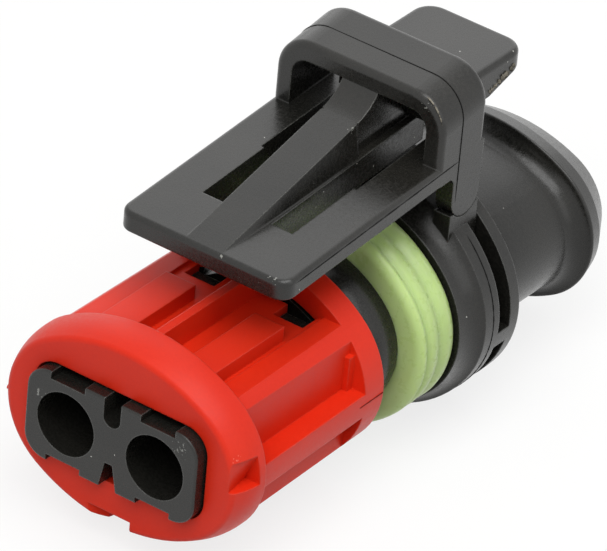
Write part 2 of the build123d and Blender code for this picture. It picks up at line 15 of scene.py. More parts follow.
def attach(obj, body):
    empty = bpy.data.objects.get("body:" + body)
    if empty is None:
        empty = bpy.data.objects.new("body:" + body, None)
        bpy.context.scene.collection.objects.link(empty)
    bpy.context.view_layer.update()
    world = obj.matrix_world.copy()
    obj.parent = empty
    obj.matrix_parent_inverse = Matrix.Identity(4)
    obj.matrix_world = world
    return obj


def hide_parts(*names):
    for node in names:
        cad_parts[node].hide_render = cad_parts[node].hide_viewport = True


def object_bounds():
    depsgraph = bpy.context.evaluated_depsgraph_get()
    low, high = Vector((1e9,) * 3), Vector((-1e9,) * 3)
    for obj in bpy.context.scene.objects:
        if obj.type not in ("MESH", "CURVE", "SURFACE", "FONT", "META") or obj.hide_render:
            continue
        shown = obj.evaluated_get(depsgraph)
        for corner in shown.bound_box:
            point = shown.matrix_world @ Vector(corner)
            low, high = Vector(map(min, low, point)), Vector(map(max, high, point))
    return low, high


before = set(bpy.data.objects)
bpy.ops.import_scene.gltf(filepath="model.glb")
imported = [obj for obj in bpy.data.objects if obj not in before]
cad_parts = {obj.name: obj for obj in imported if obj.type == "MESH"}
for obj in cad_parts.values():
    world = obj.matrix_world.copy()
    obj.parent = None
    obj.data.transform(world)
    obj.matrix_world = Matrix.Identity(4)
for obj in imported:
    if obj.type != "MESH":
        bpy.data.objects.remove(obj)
CAD_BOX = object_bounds()

LOG = logging.getLogger("plug")
MM = 0.001

# The photograph's frame, which the camera was fitted to
PHOTO_WIDTH = 607
PHOTO_HEIGHT = 551

# Where most values of a noise lie
NOISE_SPAN = (0.3, 0.7)
UNIT_SPAN = (0.0, 1.0)
FULL = 1.0
WHITE = (1.0, 1.0, 1.0, 1.0)
# Rays that look for a rounded edge, and for a hollow
EDGE_RAYS = 6
HOLLOW_RAYS = 4

# Points closer than this become one, and faces that meet at less than this look smooth
MERGE_MM = 0.0005
SMOOTH_DEGREES = 40
# A strand's width at its very ends, the points over which it thins, and how round it is
TIP_SHARE = 0.15
TIP_POINTS = 2
STRAND_ROUNDING = 2
# Radius of an oval's side arcs, as a share of half its height
OVAL_SIDE_SHARE = 0.85

Point = tuple[float, float, float]
Pair = tuple[float, float]
Span = tuple[float, float]
Colour = tuple[float, float, float, float]
Tree = bpy.types.NodeTree
Socket = bpy.types.NodeSocket


class Slot(Enum):
    """Material slots of the record."""

    BLACK = "black_plastic"
    RED = "red_plastic"
    SEAL = "seal_rubber"


class Body(Enum):
    """Rigid bodies of the frame that pieces ride on."""

    HOUSING = "housing"
    LOCK = "lock"
    LATCH = "latch"


class Side(Enum):
    """The two sides of the plug, as the sign of X."""

    LEFT = -1
    RIGHT = 1


class Step(Enum):
    """What is done with two values of a pattern."""

    ADD = "ADD"
    MULTIPLY = "MULTIPLY"
    LARGER = "MAXIMUM"
    ABOVE = "GREATER_THAN"
    BELOW = "LESS_THAN"


def linear(colour: str) -> Colour:
    """Turns an sRGB hex colour into linear RGBA.

    Args:
        colour: six hex digits after a hash sign.

    Returns:
        Red, green, blue and an alpha of one.
    """
    shares = [int(colour[i : i + 2], 16) / 255 for i in (1, 3, 5)]
    red, green, blue = (s / 12.92 if s <= 0.04045 else ((s + 0.055) / 1.055) ** 2.4 for s in shares)
    return red, green, blue, 1.0


def per_metre(size_mm: float) -> float:
    """Texture scale at which one feature of a pattern is size_mm across."""
    return 1 / (size_mm * MM)


def add_node(tree: Tree, kind: str, inputs: dict[Any, Any], **settings: Any) -> bpy.types.Node:
    """Adds a shader node, sets it up and links it.

    Args:
        tree: node tree of the material or world.
        kind: Blender's name of the node type.
        inputs: socket name or number to a plain value, or to the output socket that feeds it.
        settings: properties of the node itself.

    Returns:
        The new node.
    """
    node = tree.nodes.new(kind)
    for name, value in settings.items():
        setattr(node, name, value)
    for key, value in inputs.items():
        if isinstance(value, bpy.types.NodeSocket):
            tree.links.new(value, node.inputs[key])
        else:
            node.inputs[key].default_value = value
    return node


def object_place(tree: Tree) -> Socket:
    """Object coordinates, which every pattern lies in."""
    return add_node(tree, "ShaderNodeTexCoord", {}).outputs["Object"]


def noise(tree: Tree, place: Socket, size_mm: float, detail: float, roughness: float = 0.5) -> Socket:
    """Adds a noise pattern.

    Args:
        tree: node tree of the material.
        place: coordinates that it lies in.
        size_mm: size of its largest features.
        detail: how many finer layers it has.
        roughness: how strong the finer layers are.

    Returns:
        The socket of its height.
    """
    inputs = {"Vector": place, "Scale": per_metre(size_mm), "Detail": detail, "Roughness": roughness}
    return add_node(tree, "ShaderNodeTexNoise", inputs).outputs["Fac"]


def stretch(tree: Tree, value: Socket, source: Span, target: Span = UNIT_SPAN) -> Socket:
    """Takes a value from one span to another and holds it at the ends.

    Args:
        tree: node tree of the material or world.
        value: the value's socket.
        source: span that it comes from.
        target: span that it goes to.

    Returns:
        The socket of the new value.
    """
    ends = zip(("From Min", "From Max", "To Min", "To Max"), (*source, *target))
    return add_node(tree, "ShaderNodeMapRange", {"Value": value, **dict(ends)}).outputs["Result"]


def combine(tree: Tree, step: Step, first: Socket, second: Socket | float) -> Socket:
    """Works out one value from two.

    Args:
        tree: node tree of the material or world.
        step: what is done with them.
        first: the first value's socket.
        second: the second value, or its socket.

    Returns:
        The socket of the result.
    """
    return add_node(tree, "ShaderNodeMath", {0: first, 1: second}, operation=step.value).outputs["Value"]


def mix(tree: Tree, share: Socket, first: Socket | Colour, second: Colour) -> Socket:
    """Mixes two colours.

    Args:
        tree: node tree of the material.
        share: share of the second colour.
        first: the first colour, or its socket.
        second: the second colour.

    Returns:
        The socket of the mixed colour.
    """
    inputs = {"Factor": share, "A": first, "B": second}
    return add_node(tree, "ShaderNodeMix", inputs, data_type="RGBA").outputs["Result"]


def emboss(tree: Tree, height: Socket, depth_mm: float, normal: Socket | None = None) -> Socket:
    """Raises a pattern on the surface.

    Args:
        tree: node tree of the material.
        height: the pattern's height.
        depth_mm: how deep it is.
        normal: normal that it starts from, if not the surface's own.

    Returns:
        The socket of the new normal.
    """
    inputs = {"Strength": FULL, "Distance": depth_mm * MM, "Height": height}
    if normal is not None:
        inputs["Normal"] = normal
    return add_node(tree, "ShaderNodeBump", inputs).outputs["Normal"]


def new_material(name: str) -> tuple[bpy.types.Material, Tree, bpy.types.Node]:
    """Makes an empty node material.

    Args:
        name: the material's name.

    Returns:
        The material, its node tree and its output node.
    """
    material = bpy.data.materials.new(name)
    material.use_nodes = True
    tree = material.node_tree
    tree.nodes.clear()
    output = tree.nodes.new("ShaderNodeOutputMaterial")
    return material, tree, output


@dataclass(frozen=True)
class Scuff:
    """A rubbed spot of a moulding: where it is and how far it reaches, in millimetres."""

    place: Point
    reach: float


@dataclass(frozen=True)
class MouldedPlastic:
    """Glass-filled polyester from a spark-eroded tool: satin grain, rubbed edges that are also paled as
    painted highlight, scuffs, dust, and painted shade on the reflections where it is set.
    """

    name: str
    colour: str
    colour_light: str
    roughness: float
    specular: float
    # Colour and share of the paled edges: rubbed wear and painted highlight together
    edge_wear_highlight_colour: str
    edge_wear_highlight_share: float
    ior: float = 1.5
    # Spark-eroded grain, drawn coarser than the real 0.03 mm so that it shows
    grain_mm: float = 0.2
    grain_detail: float = 5.0
    grain_roughness: float = 0.65
    grain_height_mm: float = 0.006
    sheen_drift: float = 0.08
    # Slow drift of the pigment, and the span of drift and grain together that shows it
    flow_mm: float = 4.5
    flow_detail: float = 3.0
    pigment_span: Span = (0.75, 1.25)
    # Radius of an edge, and how far its normal has turned where paling starts and is full; the paling is
    # rubbed wear and painted edge highlight together
    edge_mm: float = 0.12
    edge_turn: Span = (0.985, 0.82)
    edge_break_mm: float = 0.3
    edge_break_detail: float = 4.0
    # Inner corners stay unpaled, because nothing rubs there and no edge highlight is painted there
    hollow_mm: float = 0.5
    hollow_span: Span = (0.85, 0.98)
    # Scuffed spots: their flecks thin out from the middle to the reach of the spot
    scuffs: tuple[Scuff, ...] = ()
    scuff_mm: float = 0.18
    scuff_detail: float = 3.0
    scuff_level: Span = (0.52, 0.9)
    scuff_share: float = 0.75
    # Specks of dust, one in a cell at most, and the patches that gather them
    speck_cell_mm: float = 0.75
    speck_mm: float = 0.04
    speck_share: float = 0.5
    speck_colour: str = "#b9b8b2"
    dust_patch_mm: float = 6.0
    dust_detail: float = 2.0
    dust_span: Span = (0.4, 0.7)
    # Painted shade: the share of reflections that is left where other pieces close the surface in, found by
    # ambient occlusion
    painted_shade_mm: float = 5.0
    painted_shade_span: Span = (0.5, 0.97)
    painted_shade_share: float = 1.0

    def build(self) -> bpy.types.Material:
        """Builds the node material."""
        material, tree, output = new_material(self.name)
        place = object_place(tree)
        grain = noise(tree, place, self.grain_mm, self.grain_detail, self.grain_roughness)
        edges = add_node(tree, "ShaderNodeBevel", {"Radius": self.edge_mm * MM}, samples=EDGE_RAYS)
        rounded = edges.outputs["Normal"]
        colour = self.pigment(tree, place, grain)
        colour = self.wear_and_edge_highlight(tree, place, rounded, colour)
        colour = self.dust(tree, place, colour)
        sheen = (self.roughness - self.sheen_drift, self.roughness + self.sheen_drift)
        shader = add_node(
            tree,
            "ShaderNodeBsdfPrincipled",
            {
                "Base Color": colour,
                "Roughness": stretch(tree, grain, NOISE_SPAN, sheen),
                "IOR": self.ior,
                "Specular IOR Level": self.painted_shade_gloss(tree),
                "Normal": emboss(tree, grain, self.grain_height_mm, rounded),
            },
        )
        tree.links.new(shader.outputs["BSDF"], output.inputs["Surface"])
        return material

    def painted_shade_gloss(self, tree: Tree) -> Socket | float:
        """Strength of the reflections, with painted shade: weaker where other pieces close the surface in.

        Args:
            tree: the material's node tree.

        Returns:
            One value, or its socket where it varies.
        """
        if self.painted_shade_share == FULL:
            return self.specular
        painted_shade = add_node(
            tree, "ShaderNodeAmbientOcclusion", {"Distance": self.painted_shade_mm * MM}, samples=HOLLOW_RAYS
        )
        levels = (self.specular * self.painted_shade_share, self.specular)
        return stretch(tree, painted_shade.outputs["AO"], self.painted_shade_span, levels)

    def pigment(self, tree: Tree, place: Socket, grain: Socket) -> Socket:
        """Colour of the plastic itself: a slow drift, as flow leaves it, and a little of the grain.

        Args:
            tree: the material's node tree.
            place: Object coordinates.
            grain: height of the grain.

        Returns:
            The colour's socket.
        """
        flow = noise(tree, place, self.flow_mm, self.flow_detail)
        share = stretch(tree, combine(tree, Step.ADD, flow, grain), self.pigment_span)
        return mix(tree, share, linear(self.colour), linear(self.colour_light))

    def wear_and_edge_highlight(self, tree: Tree, place: Socket, rounded: Socket, colour: Socket) -> Socket:
        """Pales the edges, where the rounded normal leaves the face's own, as rubbed wear and painted
        highlight, and the scuffed spots.

        Args:
            tree: the material's node tree.
            place: Object coordinates.
            rounded: normal with the edges rounded.
            colour: the colour so far.

        Returns:
            The colour's socket.
        """
        face = add_node(tree, "ShaderNodeNewGeometry", {}).outputs["Normal"]
        turn = add_node(tree, "ShaderNodeVectorMath", {0: rounded, 1: face}, operation="DOT_PRODUCT")
        # Paled convex edges: rubbed wear and painted highlight together
        edge = stretch(tree, turn.outputs["Value"], self.edge_turn, (0.0, self.edge_wear_highlight_share))
        hollow = add_node(
            tree,
            "ShaderNodeAmbientOcclusion",
            {"Distance": self.hollow_mm * MM},
            samples=HOLLOW_RAYS,
            only_local=True,
        )
        bare = stretch(tree, hollow.outputs["AO"], self.hollow_span)
        edge_break = noise(tree, place, self.edge_break_mm, self.edge_break_detail)
        total = combine(tree, Step.MULTIPLY, combine(tree, Step.MULTIPLY, edge, edge_break), bare)
        flecks = noise(tree, place, self.scuff_mm, self.scuff_detail)
        for scuff in self.scuffs:
            middle = tuple(c * MM for c in scuff.place)
            away = add_node(tree, "ShaderNodeVectorMath", {0: place, 1: middle}, operation="DISTANCE")
            level = stretch(tree, away.outputs["Value"], (0.0, scuff.reach * MM), self.scuff_level)
            mark = combine(tree, Step.ABOVE, flecks, level)
            soft = combine(tree, Step.MULTIPLY, mark, self.scuff_share)
            total = combine(tree, Step.LARGER, total, soft)
        return mix(tree, total, colour, linear(self.edge_wear_highlight_colour))

    def dust(self, tree: Tree, place: Socket, colour: Socket) -> Socket:
        """Lays small round specks in some of the cells, more of them in some patches than in others.

        Args:
            tree: the material's node tree.
            place: Object coordinates.
            colour: the colour so far.

        Returns:
            The colour's socket.
        """
        scale = per_metre(self.speck_cell_mm)
        cells = add_node(tree, "ShaderNodeTexVoronoi", {"Vector": place, "Scale": scale})
        near = combine(tree, Step.BELOW, cells.outputs["Distance"], self.speck_mm / self.speck_cell_mm)
        patch = noise(tree, place, self.dust_patch_mm, self.dust_detail)
        density = stretch(tree, patch, self.dust_span, (0.0, self.speck_share))
        chosen = combine(tree, Step.BELOW, cells.outputs["Color"], density)
        speck = combine(tree, Step.MULTIPLY, near, chosen)
        return mix(tree, speck, colour, linear(self.speck_colour))


@dataclass(frozen=True)
class SiliconeRubber:
    """Moulded silicone: soft, slightly clear, satin with a faint powdery bloom."""

    name: str
    colour: str
    colour_dark: str
    roughness: float = 0.29
    specular: float = 0.5
    ior: float = 1.43
    drift_mm: float = 2.6
    drift_detail: float = 3.0
    bloom_mm: float = 0.5
    bloom_detail: float = 5.0
    bloom_roughness: float = 0.6
    bloom_height_mm: float = 0.003
    # How much less and more rough the bloom makes the skin
    sheen_less: float = 0.07
    sheen_more: float = 0.1
    # How much light passes into the rubber, how far, and how far by colour
    scatter_share: float = 0.8
    scatter_mm: float = 0.9
    scatter_colours: tuple[float, float, float] = (0.9, 1.0, 0.5)

    def build(self) -> bpy.types.Material:
        """Builds the node material."""
        material, tree, output = new_material(self.name)
        place = object_place(tree)
        drift = noise(tree, place, self.drift_mm, self.drift_detail)
        bloom = noise(tree, place, self.bloom_mm, self.bloom_detail, self.bloom_roughness)
        sheen = (self.roughness - self.sheen_less, self.roughness + self.sheen_more)
        shader = add_node(
            tree,
            "ShaderNodeBsdfPrincipled",
            {
                "Base Color": mix(tree, drift, linear(self.colour), linear(self.colour_dark)),
                "Roughness": stretch(tree, bloom, NOISE_SPAN, sheen),
                "IOR": self.ior,
                "Specular IOR Level": self.specular,
                "Subsurface Weight": self.scatter_share,
                "Subsurface Radius": self.scatter_colours,
                "Subsurface Scale": self.scatter_mm * MM,
                "Normal": emboss(tree, bloom, self.bloom_height_mm),
            },
        )
        tree.links.new(shader.outputs["BSDF"], output.inputs["Surface"])
        return material


@dataclass(frozen=True)
class StampedMetal:
    """Rolled strip, stamped and bent: fine rolling lines along the strip, dull where it is plated."""

    name: str
    colour: str
    colour_dull: str
    roughness: float
    line_mm: float = 0.12
    line_detail: float = 3.0
    line_height_mm: float = 0.001
    # The lines run along Y, so the pattern is drawn out that way
    line_scale: tuple[float, float, float] = (1.0, 0.08, 1.0)
    # How much less and more rough the lines make the strip
    sheen_less: float = 0.08
    sheen_more: float = 0.1

    def build(self) -> bpy.types.Material:
        """Builds the node material."""
        material, tree, output = new_material(self.name)
        along = add_node(
            tree,
            "ShaderNodeMapping",
            {"Vector": object_place(tree), "Scale": self.line_scale},
            vector_type="POINT",
        )
        lines = noise(tree, along.outputs["Vector"], self.line_mm, self.line_detail)
        sheen = (self.roughness - self.sheen_less, self.roughness + self.sheen_more)
        shader = add_node(
            tree,
            "ShaderNodeBsdfPrincipled",
            {
                "Base Color": mix(tree, lines, linear(self.colour), linear(self.colour_dull)),
                "Metallic": FULL,
                "Roughness": stretch(tree, lines, NOISE_SPAN, sheen),
                "Normal": emboss(tree, lines, self.line_height_mm),
            },
        )
        tree.links.new(shader.outputs["BSDF"], output.inputs["Surface"])
        return material


# Carbon-black polyester: a deep satin black whose grain breaks up every reflection; its reflections get
# painted shade where other pieces close it in
HOUSING_BLACK = MouldedPlastic(
    name="black_polyester",
    colour="#151513",
    colour_light="#201f1c",
    roughness=0.27,
    specular=0.5,
    edge_wear_highlight_colour="#8b8c88",
    edge_wear_highlight_share=0.55,
    scuffs=(Scuff((4.6, 0.1, 1.9), 1.5), Scuff((-4.9, 0.1, 1.2), 1.1), Scuff((8.2, 23.4, -2.5), 1.6)),
    painted_shade_share=0.2,
)
# The same plastic on the latch, where thumbs and other plugs have rubbed the plate's corner and the arch
LATCH_BLACK = MouldedPlastic(
    name="rubbed_black_polyester",
    colour="#161614",
    colour_light="#21201d",
    roughness=0.26,
    specular=0.5,
    edge_wear_highlight_colour="#94958f",
    edge_wear_highlight_share=0.6,
    scuffs=(
        Scuff((4.7, 7.1, 9.35), 0.9),
        Scuff((1.3, 7.1, 9.35), 0.6),
        Scuff((4.4, 20.85, 14.0), 0.8),
        Scuff((1.2, 18.6, 12.1), 0.8),
    ),
)
# Where a mould closes, a fine line is left; its near-black colour is painted shade, for the shadow of the
# fine groove there
SEAM_SHADE_BLACK = MouldedPlastic(
    name="seam_painted_shade_black",
    colour="#070707",
    colour_light="#0c0c0b",
    roughness=0.7,
    specular=0.15,
    edge_wear_highlight_colour="#1c1c1b",
    edge_wear_highlight_share=0.1,
    speck_share=0.0,
)
# Torn plastic at the gate and on the flash: paler and rougher than the moulded skin
TORN_BLACK = MouldedPlastic(
    name="torn_black_polyester",
    colour="#454239",
    colour_light="#938d80",
    roughness=0.7,
    specular=0.3,
    edge_wear_highlight_colour="#8b857a",
    edge_wear_highlight_share=0.4,
    grain_height_mm=0.02,
)
# The red plastic's own closing line, dark red as painted shade for the shadow of its fine step
SEAM_SHADE_RED = MouldedPlastic(
    name="seam_painted_shade_red",
    colour="#5c1008",
    colour_light="#6e160b",
    roughness=0.6,
    specular=0.2,
    edge_wear_highlight_colour="#8a2a1c",
    edge_wear_highlight_share=0.1,
    speck_share=0.0,
)
# Red polyester: one clean pigment, satin, deep and saturated where it faces itself; its reflections get
# painted shade where other pieces close it in
LOCK_RED = MouldedPlastic(
    name="red_polyester",
    colour="#c8240f",
    colour_light="#cf2b14",
    roughness=0.42,
    specular=0.28,
    edge_wear_highlight_colour="#e07060",
    edge_wear_highlight_share=0.4,
    scuffs=(Scuff((7.5, 1.3, 2.0), 0.8), Scuff((7.6, 13.0, 2.7), 0.5)),
    grain_height_mm=0.004,
    speck_share=0.04,
    speck_colour="#e59a8c",
    painted_shade_share=0.2,
)
# Green silicone: milky, pale on its crests where light passes through
SEAL_GREEN = SiliconeRubber(name="green_silicone", colour="#b6cd8a", colour_dark="#a9c07c")
# Tinned copper: warm grey, soft shine
CONTACT_TIN = StampedMetal(name="tinned_copper", colour="#d9d2c4", colour_dull="#b9ad98", roughness=0.34)
# Spring steel: cool grey, brighter shine
SPRING_STEEL = StampedMetal(name="spring_steel", colour="#c9c9cc", colour_dull="#a4a5a9", roughness=0.3)


def deselect_all() -> None:
    """Leaves edit mode if needed and deselects every object."""
    if bpy.context.object and bpy.context.object.mode != "OBJECT":
        bpy.ops.object.mode_set(mode="OBJECT")
    bpy.ops.object.select_all(action="DESELECT")


def settle(piece: bpy.types.Object, name: str, material: bpy.types.Material, body: Body) -> None:
    """Finishes a new piece: closed and outward faces, place in its mesh, finish and body.

    Args:
        piece: the modelled object.
        name: its name.
        material: its finish.
        body: the body that it rides on.
    """
    deselect_all()
    piece.select_set(True)
    bpy.context.view_layer.objects.active = piece
    bpy.ops.object.transform_apply(location=True, rotation=True, scale=True)
    bpy.ops.object.mode_set(mode="EDIT")
    bpy.ops.mesh.select_all(action="SELECT")
    bpy.ops.mesh.remove_doubles(threshold=MERGE_MM * MM)
    bpy.ops.mesh.normals_make_consistent(inside=False)
    bpy.ops.object.mode_set(mode="OBJECT")
    bpy.ops.object.shade_smooth_by_angle(angle=math.radians(SMOOTH_DEGREES))
    piece.name = name
    piece.data.name = name
    piece.data.materials.clear()
    piece.data.materials.append(material)
    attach(piece, body.value)
    LOG.info("piece %s on body %s: %d faces", name, body.value, len(piece.data.polygons))


def lay_line(path: list[Point], width_mm: float, swell: float = 0.0, seed: int = 1) -> bpy.types.Object:
    """Lays a fine closed strand along a path, thinning at its ends.

    Args:
        path: places along it, in millimetres.
        width_mm: its half width.
        swell: share by which its width wanders.
        seed: start of the wandering.

    Returns:
        The strand, as a mesh.
    """
    chance = random.Random(seed)
    deselect_all()
    bpy.ops.curve.primitive_nurbs_path_add()
    piece = bpy.context.object
    piece.data.splines.clear()
    spline = piece.data.splines.new("POLY")
    spline.points.add(len(path) - 1)
    for number, place in enumerate(path):
        ends = min(1.0, TIP_SHARE + min(number, len(path) - 1 - number) / TIP_POINTS)
        spline.points[number].co = (place[0] * MM, place[1] * MM, place[2] * MM, 1.0)
        spline.points[number].radius = ends * (1 + swell * chance.uniform(-1, 1))
    piece.data.bevel_depth = width_mm * MM
    piece.data.bevel_resolution = STRAND_ROUNDING
    piece.data.use_fill_caps = True
    bpy.ops.object.convert(target="MESH")
    return bpy.context.object


def oval_ring(half_width: float, half_height: float, count: int) -> list[Pair]:
    """Points round an oval of four tangent arcs, as the plug's sections are.

    Args:
        half_width: half its width.
        half_height: half its height.
        count: number of points, a multiple of four.

    Returns:
        Across and up of each point, from the lower end of the right arc onwards.
    """
    side = OVAL_SIDE_SHARE * half_height
    shift = half_width - side
    top = (shift**2 + half_height**2 - side**2) / (2 * (half_height - side))
    turn = math.atan2(top - half_height, shift)
    arcs = (
        (shift, 0.0, side, -turn, 2 * turn),
        (0.0, half_height - top, top, turn, math.pi - 2 * turn),
        (-shift, 0.0, side, math.pi - turn, 2 * turn),
        (0.0, top - half_height, top, math.pi + turn, math.pi - 2 * turn),
    )
    arc_points = count // len(arcs)
    points = []
    for across, up, radius, start, sweep in arcs:
        for number in range(arc_points):
            angle = start + sweep * number / arc_points
            points.append((across + radius * math.cos(angle), up + radius * math.sin(angle)))
    return points


@dataclass
class Mouldings:
    """The frame's own pieces and the finish of each."""

    finishes: dict[str, bpy.types.Material]

    def dress(self) -> None:
        """Gives every node of the frame its finish."""
        for name, material in self.finishes.items():
            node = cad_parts[name]
            node.data.materials.clear()
            node.data.materials.append(material)
            LOG.info("node %s dressed in %s", name, material.name)


@dataclass
class RingSeal:
    """The soft ring seal, with the low rounded ribs that the mould gives it. Sizes in millimetres."""

    material: bpy.types.Material
    front: float = 17.75
    seat_half_width: float = 5.93
    seat_half_height: float = 4.78
    height: float = 1.82
    points: int = 192
    # How far back each station is, and how far its skin lies below the crests
    skin: tuple[Pair, ...] = (
        (0.0, 0.62),
        (0.04, 0.4),
        (0.12, 0.2),
        (0.26, 0.06),
        (0.42, 0.0),
        (0.56, 0.04),
        (0.68, 0.14),
        (0.78, 0.22),
        (0.86, 0.22),
        (0.96, 0.14),
        (1.1, 0.04),
        (1.3, 0.0),
        (1.55, 0.03),
        (1.75, 0.1),
        (1.9, 0.2),
        (2.0, 0.22),
        (2.1, 0.2),
        (2.25, 0.1),
        (2.45, 0.02),
        (2.7, 0.0),
        (2.95, 0.05),
        (3.2, 0.16),
        (3.34, 0.32),
        (3.4, 0.5),
    )

    def build(self) -> None:
        """Models the ring station by station and puts it in the place of the plain one."""
        stations = [(0.0, 0.0)] + [(back, self.height - drop) for back, drop in self.skin]
        stations += [(self.skin[-1][0], 0.0), (0.0, 0.0)]
        deselect_all()
        bpy.ops.mesh.primitive_circle_add(vertices=self.points, radius=self.seat_half_width * MM)
        piece = bpy.context.object
        bpy.ops.object.mode_set(mode="EDIT")
        bpy.ops.mesh.select_all(action="SELECT")
        self.place(piece, list(range(self.points)), stations[0])
        for number, station in enumerate(stations[1:], start=1):
            bpy.ops.mesh.extrude_edges_move()
            first = number * self.points
            self.place(piece, list(range(first, first + self.points)), station)
        settle(piece, "ring_seal", self.material, Body.HOUSING)
        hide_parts("interface_seal")

    def place(self, piece: bpy.types.Object, numbers: list[int], station: Pair) -> None:
        """Moves the newest ring of points onto its oval.

        Args:
            piece: the seal in edit mode.
            numbers: the ring's points.
            station: how far back the ring lies and how far it stands over the seat.
        """
        back, rise = station
        ring = oval_ring(self.seat_half_width + rise, self.seat_half_height + rise, self.points)
        mesh = bmesh.from_edit_mesh(piece.data)
        mesh.verts.ensure_lookup_table()
        angles = sorted(numbers, key=lambda n: math.atan2(mesh.verts[n].co.x, mesh.verts[n].co.z))
        aims = sorted(ring, key=lambda p: math.atan2(p[0], p[1]))
        for number, (across, up) in zip(angles, aims):
            mesh.verts[number].co = (across * MM, (self.front + back) * MM, up * MM)
        bmesh.update_edit_mesh(piece.data)


@dataclass
class LatchMarks:
    """Marks of the mould on the latch: seams, flash on the arch, a torn gate. Sizes in millimetres."""

    # Finish of the seams, near black: painted shade of their fine grooves
    seam: bpy.types.Material
    torn: bpy.types.Material
    half_width: float = 5.65
    line: float = 0.035
    # The plate's upper face and the seam along its sides
    plate_front: float = 7.02
    plate_corner: float = 0.9
    plate_top: float = 9.38
    plate_rise: float = 0.06467
    plate_steps: int = 30
    plate_swell: float = 0.3
    seam_drop: float = 0.32
    # The arch and the seam over it, with the heights of its points on a leg
    seam_back: float = 22.75
    leg_heights: tuple[float, ...] = (7.4, 8.0, 9.0, 10.8)
    arch_top: float = 14.725
    arch_corner: float = 2.2
    arch_steps: int = 24
    # The flash on the rounded edge of the arch's front, from one angle to the other
    arch_front: float = 20.85
    arch_round: float = 0.4
    flash_turn: Span = (66.0, 14.0)
    flash_steps: int = 18
    flash_swell: float = 0.7
    flash_seed: int = 5
    # The torn gate along the pad's lower right edge: back and height of its two ends
    pad_half_width: float = 3.45
    tear: tuple[Pair, Pair] = ((28.4, 10.95), (30.9, 11.75))
    tear_inset: float = 0.03
    tear_width: float = 0.13
    tear_shake: float = 0.09
    tear_steps: int = 32
    tear_swell: float = 0.8
    tear_seed: int = 7
    shake_seed: int = 3

    def build(self) -> None:
        """Lays the marks."""
        arch = lay_line(self.arch_path(), self.line)
        settle(arch, "latch_arch_seam", self.seam, Body.LATCH)
        for side in Side:
            edge = lay_line(self.plate_path(side), self.line, swell=self.plate_swell)
            settle(edge, f"latch_plate_seam_{side.name.lower()}", self.seam, Body.LATCH)
        flash = lay_line(self.flash_path(), self.line, swell=self.flash_swell, seed=self.flash_seed)
        settle(flash, "latch_arch_flash", self.torn, Body.LATCH)
        vestige = lay_line(self.tear_path(), self.tear_width, swell=self.tear_swell, seed=self.tear_seed)
        settle(vestige, "latch_gate_tear", self.torn, Body.LATCH)

    def arch_path(self) -> list[Point]:
        """Path of the seam over the arch, from the left foot to the right one."""
        bend = self.half_width - self.arch_corner
        knee = self.arch_top - self.arch_corner
        path = [(-self.half_width, self.seam_back, height) for height in self.leg_heights]
        for number in range(self.arch_steps + 1):
            angle = math.pi * (1 - number / self.arch_steps)
            shift = -bend if math.cos(angle) < 0 else bend
            across = shift + self.arch_corner * math.cos(angle)
            path.append((across, self.seam_back, knee + self.arch_corner * math.sin(angle)))
        path += [(self.half_width, self.seam_back, height) for height in reversed(self.leg_heights)]
        return path

    def plate_path(self, side: Side) -> list[Point]:
        """Path of the seam along one side of the plate.

        Args:
            side: which side.

        Returns:
            Places along it, in millimetres.
        """
        start = self.plate_front + self.plate_corner
        path = []
        for number in range(self.plate_steps + 1):
            back = start + (self.seam_back - start) * number / self.plate_steps
            height = self.plate_top + (back - self.plate_front) * self.plate_rise - self.seam_drop
            path.append((side.value * self.half_width, back, height))
        return path

    def flash_path(self) -> list[Point]:
        """Path of the flash round the arch's front right corner, in the middle of its rounded edge."""
        inset = self.arch_round * (1 - math.sqrt(0.5))
        radius = self.arch_corner - inset
        start, end = (math.radians(a) for a in self.flash_turn)
        path = []
        for number in range(self.flash_steps + 1):
            angle = start + (end - start) * number / self.flash_steps
            across = self.half_width - self.arch_corner + radius * math.cos(angle)
            height = self.arch_top - self.arch_corner + radius * math.sin(angle)
            path.append((across, self.arch_front + inset, height))
        return path

    def tear_path(self) -> list[Point]:
        """Path of the torn plastic along the pad's lower right edge."""
        (start, low), (end, high) = self.tear
        chance = random.Random(self.shake_seed)
        path = []
        for number in range(self.tear_steps + 1):
            share = number / self.tear_steps
            height = low + (high - low) * share + self.tear_shake * chance.uniform(-1, 1)
            path.append((self.pad_half_width - self.tear_inset, start + (end - start) * share, height))
        return path


@dataclass
class LockMarks:
    """Marks of the mould on the lock: closing lines on the rear ring, and a nib. Sizes in millimetres."""

    red: bpy.types.Material
    # Finish of the closing lines, dark red: painted shade of their fine step
    seam: bpy.types.Material
    half_width: float = 7.6
    front: float = 12.3
    back: float = 14.5
    level: float = -0.1
    line: float = 0.03
    line_steps: int = 40
    line_swell: float = 0.4
    line_seed: int = 11
    # The nib's middle on the front ring's left side, the way between its points, and points to an end
    nib_middle: Point = (-8.0, 1.4, -0.5)
    nib_step: Point = (-0.015, 0.04, 0.03)
    nib_reach: int = 3
    nib_width: float = 0.05

    def build(self) -> None:
        """Lays the marks."""
        for side in Side:
            seam = lay_line(self.side_path(side), self.line, swell=self.line_swell, seed=self.line_seed)
            settle(seam, f"lock_flash_{side.name.lower()}", self.seam, Body.LOCK)
        nib = lay_line(self.nib_path(), self.nib_width)
        settle(nib, "lock_nib", self.red, Body.LOCK)

    def nib_path(self) -> list[Point]:
        """Path of the nib that the gate leaves on the front ring."""
        path = []
        for number in range(-self.nib_reach, self.nib_reach + 1):
            across, back, up = (m + s * number for m, s in zip(self.nib_middle, self.nib_step))
            path.append((across, back, up))
        return path

    def side_path(self, side: Side) -> list[Point]:
        """Path of the line along one side of the rear ring.

        Args:
            side: which side.

        Returns:
            Places along it, in millimetres.
        """
        path = []
        for number in range(self.line_steps + 1):
            back = self.front + (self.back - self.front) * (number / self.line_steps)
            path.append((side.value * self.half_width, back, self.level))
        return path


